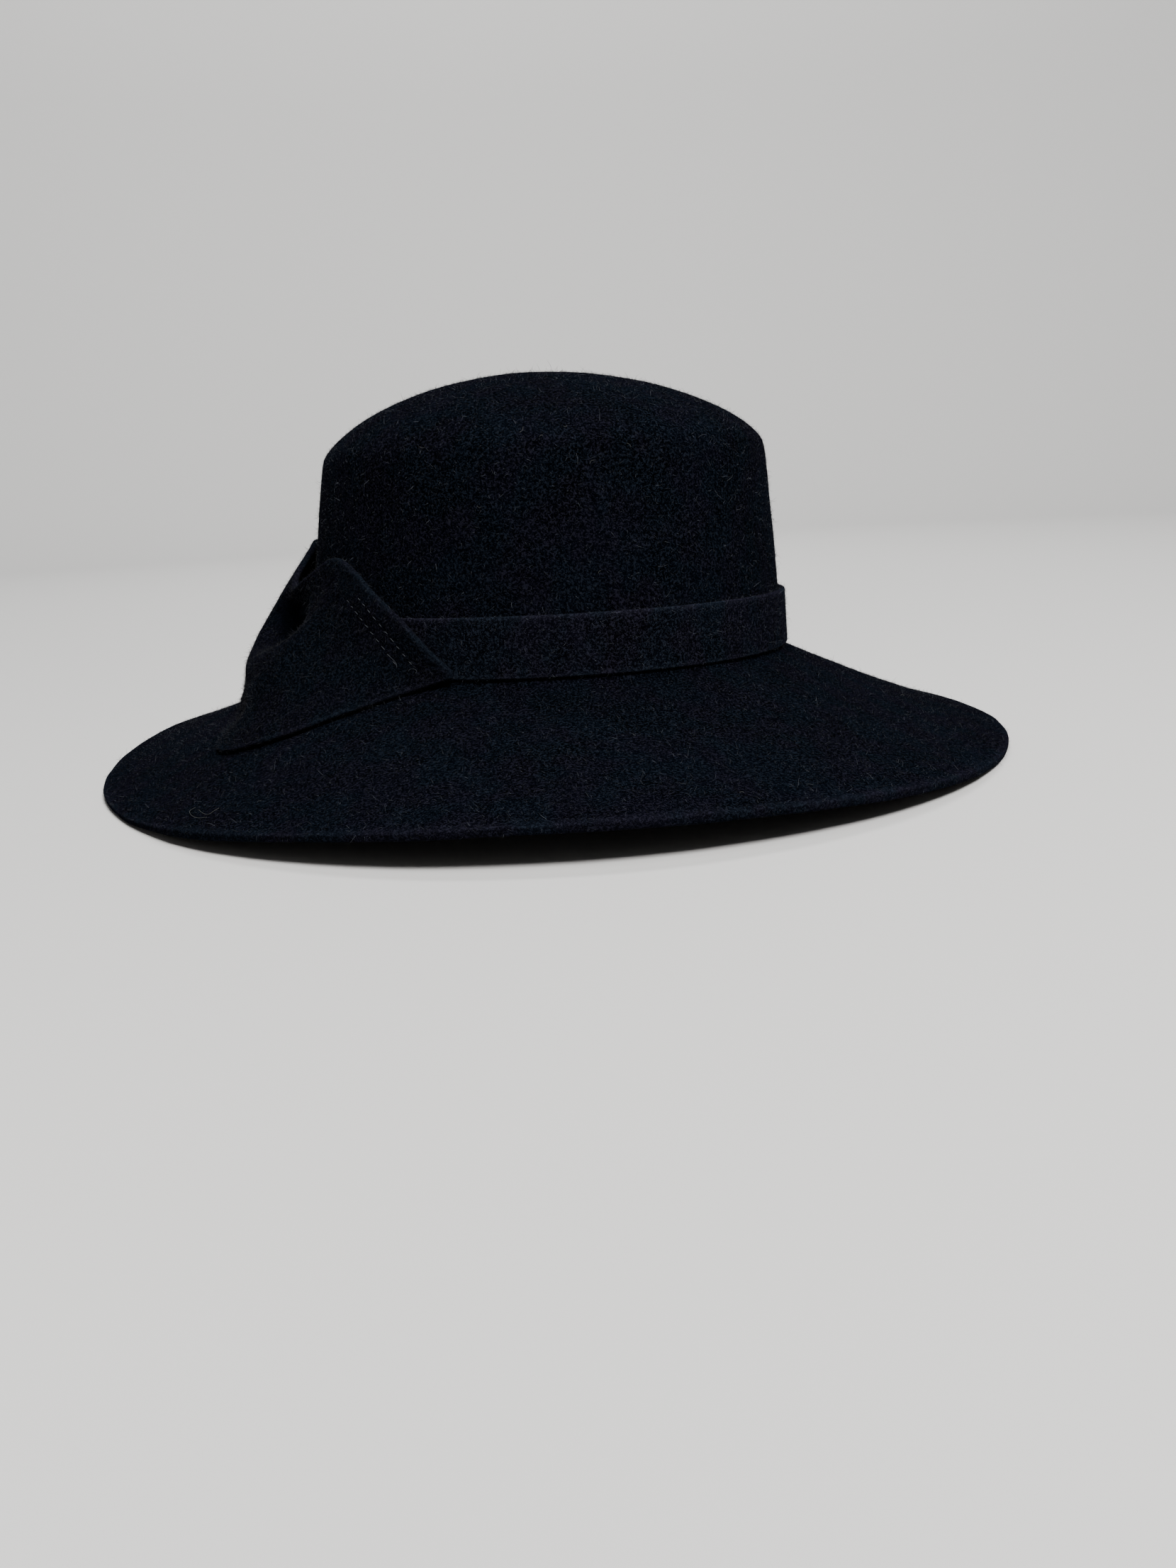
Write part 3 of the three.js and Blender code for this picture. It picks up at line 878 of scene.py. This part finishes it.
class Finish:
    """A material with a Principled shader, whose constant sockets are set straight away."""

    def __init__(self, name, **constants):
        self.material = bpy.data.materials.new(name)
        self.material.use_nodes = True
        self.tree = self.material.node_tree
        self.shader = self.tree.nodes["Principled BSDF"]
        for socket, value in constants.items():
            self.shader.inputs[socket.replace("_", " ")].default_value = value
        self.place = self.node("ShaderNodeTexCoord", output="Object")

    def node(self, kind, settings=None, sockets=None, output=0):
        """Adds a node with its settings, then sets or links its sockets."""
        made = self.tree.nodes.new(kind)
        for setting, value in (settings or {}).items():
            setattr(made, setting, value)
        for socket, value in (sockets or {}).items():
            self.set(made.inputs[socket], value)
        return Value(self, made.outputs[output])

    def set(self, socket, value):
        if isinstance(value, Value):
            self.tree.links.new(value.socket, socket)
        else:
            socket.default_value = value

    def vary(self, socket, value):
        self.set(self.shader.inputs[socket], value)

    def math(self, operation, first, second=0.0):
        return self.node("ShaderNodeMath", {"operation": operation}, {0: first, 1: second})

    def vector(self, operation, first, second=(0, 0, 0), output="Vector"):
        return self.node("ShaderNodeVectorMath", {"operation": operation}, {0: first, 1: second}, output)

    def marked(self, name):
        """What the mesh's points are marked with under this name."""
        return self.node("ShaderNodeAttribute", {"attribute_name": name}, output="Fac")

    def noise(self, size, detail=2.0, place=None):
        """Soft noise whose lumps are about size millimetres across, from 0 to 1."""
        sockets = {"Vector": place or self.place, "Scale": 1 / (size * MM), "Detail": detail}
        return self.node("ShaderNodeTexNoise", None, sockets, "Fac")

    def fade(self, value, start, end):
        """0 where value is start or before it, 1 at end, and smooth between."""
        sockets = {"Value": value, "From Min": start, "From Max": end}
        return self.node("ShaderNodeMapRange", {"interpolation_type": "SMOOTHSTEP"}, sockets, "Result")

    def mix(self, share, first, second, blend="MIX"):
        """A colour between two colours, or the two multiplied."""
        settings = {"data_type": "RGBA", "blend_type": blend}
        return self.node("ShaderNodeMix", settings, {0: share, 6: first, 7: second}, 2)

    def strands(self, size, shift, fine):
        """Short fibres that lie every way: 1 on a fibre. Each cell of felt holds the edge of one."""
        scale = 1 / (size * MM)
        stray = self.node("ShaderNodeTexNoise", None, {"Vector": self.place, "Scale": scale}, "Color")
        wander = self.vector("MULTIPLY", stray, (size * MM * STRAND_WANDER,) * 3)
        place = self.vector("ADD", self.vector("ADD", self.place, wander), shift)
        sockets = {"Vector": place, "Scale": scale}
        cells = self.node("ShaderNodeTexVoronoi", None, sockets, "Color").socket.node
        middle = Value(self, cells.outputs["Position"])
        turn = self.vector("SUBTRACT", Value(self, cells.outputs["Color"]), (0.5, 0.5, 0.5))
        from_middle = self.vector("SUBTRACT", place, middle)
        off = abs(self.vector("DOT_PRODUCT", self.vector("NORMALIZE", turn), from_middle, "Value"))
        far = self.vector("LENGTH", from_middle, (0, 0, 0), "Value")
        near_line = self.fade(off, fine * MM, 0)
        near_middle = self.fade(far, *(size * MM * end for end in STRAND_ENDS))
        return near_line * near_middle


def wool_felt(name, ground, tint, glint):
    """Brushed wool felt: a dark ground that is clouded a little, with paler fibres lying every way."""
    felt = Finish(
        name, Sheen_Weight=SHEEN, Sheen_Roughness=SHEEN_ROUGHNESS, Sheen_Tint=SHEEN_TINT,
        Specular_IOR_Level=0,
    )
    wide_cloud, small_cloud = CLOUD_SIZES
    clouds = felt.noise(wide_cloud, 3.0) * 0.6 + felt.noise(small_cloud) * 0.4
    base = felt.mix(felt.fade(clouds, *CLOUD_FADE), ground, tint)
    first_layer, *other_layers = STRAND_LAYERS
    strands = felt.strands(*first_layer)
    for layer in other_layers:
        strands = felt.math("MAXIMUM", strands, felt.strands(*layer))
    tufts = felt.fade(felt.noise(TUFT_SIZE), *TUFT_FADE)
    grain = felt.noise(GRAIN_SIZE, 3.0)
    fluff = felt.math("MAXIMUM", strands * felt.fade(grain, *GRAIN_FADE), tufts * 0.5)
    # Cut edges are painted paler: partly frayed fibres, partly a painted highlight along the lips
    fray_and_highlight = felt.marked("cut") * felt.fade(grain, *FRAY_AND_HIGHLIGHT_FADE) * 0.5
    # The hollow between the bow's wings loses its paler fibres here: painted shade
    pale = (fluff + fray_and_highlight) * (1 - felt.marked("hollow_shade") * HOLLOW_SHADE_LOSS)
    cast_noise = felt.noise(CAST_SIZE, place=felt.vector("ADD", felt.place, CAST_SHIFT))
    cast = felt.mix(felt.fade(cast_noise, *CAST_FADE), *CASTS)
    felt.vary("Base Color", felt.mix(1.0, felt.mix(pale, base, glint), cast, "MULTIPLY"))
    felt.vary("Roughness", 0.95 - strands * 0.2)
    height = strands * 0.5 + grain * 0.6 + tufts * 0.6
    bump = {"Strength": BUMP_STRENGTH, "Distance": BUMP_HEIGHT * MM, "Height": height}
    felt.vary("Normal", felt.node("ShaderNodeBump", None, bump, "Normal"))
    return felt.material


def loose_wool(name, dark, pale):
    """The nap's fibres, most of them as dark as the felt and a few that catch the light."""
    wool = Finish(name, Roughness=0.8, Specular_IOR_Level=0.08)
    wool.vary("Base Color", wool.mix(wool.marked("tone"), dark, pale))
    return wool.material


def sewing_thread():
    """Dark thread with a faint shine, twisted along its length, with paler patches along the twist that
    are painted sheen.
    """
    thread = Finish("sewing_thread", Specular_IOR_Level=0.06)
    twist = thread.noise(TWIST_SIZE)
    thread.vary("Base Color", thread.mix(twist, THREAD_DARK, THREAD_PAINTED_SHEEN))
    thread.vary("Roughness", 0.45 + twist * 0.2)
    return thread.material


def pale_hair():
    """Undyed wool, clouded along its length."""
    hair = Finish("pale_hair", Roughness=0.7, Specular_IOR_Level=0.1)
    hair.vary("Base Color", hair.mix(hair.noise(HAIR_CLOUD), HAIR_DARK, HAIR_PALE))
    return hair.material


def pale_paper():
    """The studio's plain floor and wall."""
    paper = Finish("pale_paper", Base_Color=FLOOR_COLOUR, Roughness=0.85, Specular_IOR_Level=0.2)
    return paper.material


def dressed(piece, material):
    piece.data.materials.clear()
    piece.data.materials.append(material)


# The studio

def camera():
    """The photograph's view of the hat."""
    lens = bpy.data.cameras.new("camera")
    lens.sensor_width = SENSOR
    lens.lens = FOCAL_PIXELS / PHOTO_HEIGHT * SENSOR
    lens.clip_start = 0.01
    seer = bpy.data.objects.new("camera", lens)
    look, up = Vector(CAMERA_LOOK).normalized(), Vector(CAMERA_UP).normalized()
    turned = Matrix((look.cross(up), up, -look)).transposed().to_4x4()
    turned.translation = Vector(CAMERA_PLACE) * MM
    seer.matrix_world = turned
    bpy.context.scene.collection.objects.link(seer)
    bpy.context.scene.camera = seer


def softbox(name, place, aim, size, power, colour):
    """A square soft light that faces a point of the hat."""
    box = bpy.data.lights.new(name, "AREA")
    box.size = size
    box.energy = power
    box.color = colour
    lamp = bpy.data.objects.new(name, box)
    place = Vector(place)
    lamp.location = place
    lamp.rotation_euler = (Vector(aim) - place).to_track_quat("-Z", "Y").to_euler()
    bpy.context.scene.collection.objects.link(lamp)


def studio():
    """A pale floor that curves up into a wall all round, under soft lights."""
    section = [(0, -FLOOR_GAP), (STUDIO_RADIUS, -FLOOR_GAP)]
    section += [
        (STUDIO_RADIUS + STUDIO_CURVE * math.sin(turn), STUDIO_CURVE * (1 - math.cos(turn)))
        for turn in (math.pi / 2 * step / BOWL_STEPS for step in range(1, BOWL_STEPS + 1))
    ]
    section.append((STUDIO_RADIUS + STUDIO_CURVE, STUDIO_HEIGHT))
    bowl = spun(section, steps=BOWL_TURNS)
    mesh = bpy.data.meshes.new("studio_floor")
    bowl.to_mesh(mesh)
    bowl.free()
    mesh.shade_smooth()
    floor = bpy.data.objects.new("studio_floor", mesh)
    bpy.context.scene.collection.objects.link(floor)
    dressed(floor, pale_paper())
    for lamp in SOFTBOXES:
        softbox(*lamp)
    world = bpy.data.worlds.new("soft_room")
    world.use_nodes = True
    room = world.node_tree.nodes["Background"].inputs
    room["Color"].default_value = (*ROOM_COLOUR, 1)
    room["Strength"].default_value = ROOM_STRENGTH
    bpy.context.scene.world = world


def outside_crown(centres, normals):
    """The crown's outside above the band."""
    outward = (normals * (centres - CROWN_MIDDLE)).sum(axis=1) > 0
    return (centres[:, 2] > BAND_TOP + BAND_MARGIN) & outward


def brim_top(centres, normals):
    """The brim's upper face and its rim, outside the band."""
    reach = np.hypot(centres[:, 0] + MIDDLE.x, centres[:, 1] + MIDDLE.y)
    outside = (centres[:, 2] < BAND_BOTTOM) & (reach > BAND_RADIUS + BAND_MARGIN)
    return outside & (normals[:, 2] > FACING_DOWN)


def brim_under(centres, normals):
    """The brim's lower face, where it stands clear of the table."""
    clear = (centres[:, 2] < BAND_BOTTOM) & (centres[:, 2] > TABLE_MARGIN)
    return clear & (normals[:, 2] < FACING_DOWN)


def facing_out(centres, normals):
    """The felt that faces away from the crown, or up."""
    away = centres + np.array((*MIDDLE.xy, 0))
    away[:, 2] = 0
    return ((unit(away) * normals).sum(axis=1) > FACING_IN) | (normals[:, 2] > FACING_UP)


def out_of_hollow(centres, normals):
    """The bow's outer felt, but not the hollow between its wings, which gets no nap so that it stays dark
    as painted shade.
    """
    x, y = centres[:, 0] + MIDDLE.x, centres[:, 1] + MIDDLE.y
    beside = np.degrees(np.arctan2(x, -y)) > HOLLOW_START - HOLLOW_FADE / 2
    beyond = np.hypot(x, y) > HOLLOW_RADIUS - HOLLOW_FADE / 2
    above = centres[:, 2] > HOLLOW_TOP - HOLLOW_FADE / 2
    return facing_out(centres, normals) & (beside | beyond | above)


camera()
studio()

body = blocked_felt()
band = band_strip()
bow, stitch_spots = folded_bow()
stitches = stitching(stitch_spots, bow)

# Each nap's name, its felt, where it grows, how many short and loose fibres it has, its seed, and how
# pale its pale fibres are
# The nap is made less pale on the brim, above and below, and least pale on the bow: painted shade
naps = [
    nap("crown_nap", body, outside_crown, 30000, 6000, 1, 0.5),
    nap("brim_nap", body, brim_top, 36000, 4500, 2, 0.4),
    nap("under_brim_nap", body, brim_under, 9000, 1500, 3, 0.4),
    nap("band_nap", band, facing_out, 9000, 1200, 4, 0.5),
    nap("bow_nap", bow, out_of_hollow, 14000, 2000, 5, 0.22),
]

dressed(body, wool_felt("body_felt", BODY_GROUND, BODY_TINT, BODY_GLINT))
dressed(band, wool_felt("band_felt", BAND_GROUND, BAND_TINT, BAND_GLINT))
# The bow's felt is a darker copy of the body's: painted shade
dressed(bow, wool_felt("bow_felt", BOW_GROUND, BOW_TINT, BOW_GLINT_WITH_SHADE))
dressed(stitches, sewing_thread())
dressed(lint(body), pale_hair())
nap_wool = loose_wool("loose_wool", NAP_DARK, NAP_PALE)
for fuzz in naps:
    dressed(fuzz, nap_wool)
